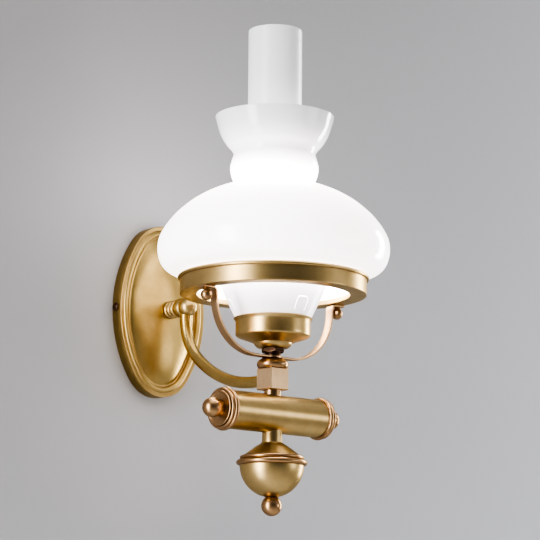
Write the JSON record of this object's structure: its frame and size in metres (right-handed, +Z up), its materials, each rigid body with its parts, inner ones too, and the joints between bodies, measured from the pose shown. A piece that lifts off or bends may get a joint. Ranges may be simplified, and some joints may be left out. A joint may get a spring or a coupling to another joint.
{
  "type": "wall lamp",
  "caption": "Wall lamp with an oval plate, a curved arm, a glass shade on a ring over a cup and chimney, and a level barrel and a bowl hanging below.",
  "frame": {"origin": "centre of the wall plate's back, on the wall", "axes": "+X right when facing the wall, +Y into the wall, +Z up"},
  "size_m": [0.194, 0.256, 0.4105],
  "materials": {
    "brass": "satin, lacquered",
    "brushed": "brushed",
    "dark": "darkened",
    "steel": "zinc plated",
    "plastic": "matte",
    "bakelite": "gloss",
    "cable": "matte",
    "enamel": "satin white",
    "opal": "opal, glossy",
    "clear": "frosted",
    "bulb": "frosted"
  },
  "bodies": {
    "lamp": {"wall_bracket": "steel", "wall_plate": "brass", "plate_screws": "brass", "terminal_block": "plastic", "terminal_screws": "steel", "earth_screw": "brass", "canopy_nipple": "brass", "canopy_washer": "steel", "canopy_nut": "steel", "arm_collar": "brass", "arm_knuckle": "brass", "arm_tube": "brass", "lamp_cable": "cable", "arm_block": "brushed", "bead_collar": "brass", "stem_nipple": "dark", "ring_bow": "brushed", "stem_nut": "dark", "ring_screws": "dark", "shade_ring": "brass", "burner_cup": "brass", "burner_cone": "enamel", "holder_cap": "bakelite", "holder_body": "plastic", "holder_thread": "brass", "holder_contact": "brass", "holder_ring": "bakelite", "chimney_gallery": "brass", "barrel_neck": "dark", "drop_nipple": "steel", "cross_block": "steel", "barrel_tube": "brass", "barrel_flange_left": "dark", "barrel_flange_right": "dark", "barrel_disc_left": "brass", "barrel_disc_right": "brass", "barrel_knob_left": "brass", "barrel_knob_right": "brass", "barrel_studs": "steel", "bowl_neck": "brass", "bowl_rod": "steel", "bowl_cover": "brass", "bowl_body": "brass", "bowl_finial": "brass"},
    "shade": {"glass_shade": "opal"},
    "chimney": {"chimney": "clear"},
    "bulb": {"bulb_glass": "bulb", "bulb_cap": "steel"}
  },
  "joints": [
    {"name": "shade_lift", "type": "slide", "parent": "lamp", "child": "shade", "axis": [0, 0, 1], "range_m": [0, 0.23]},
    {"name": "chimney_lift", "type": "slide", "parent": "lamp", "child": "chimney", "axis": [0, 0, 1], "range_m": [0, 0.18]},
    {"name": "bulb_out", "type": "slide", "parent": "lamp", "child": "bulb", "axis": [0, 0, 1], "range_m": [0, 0.03]}
  ]
}
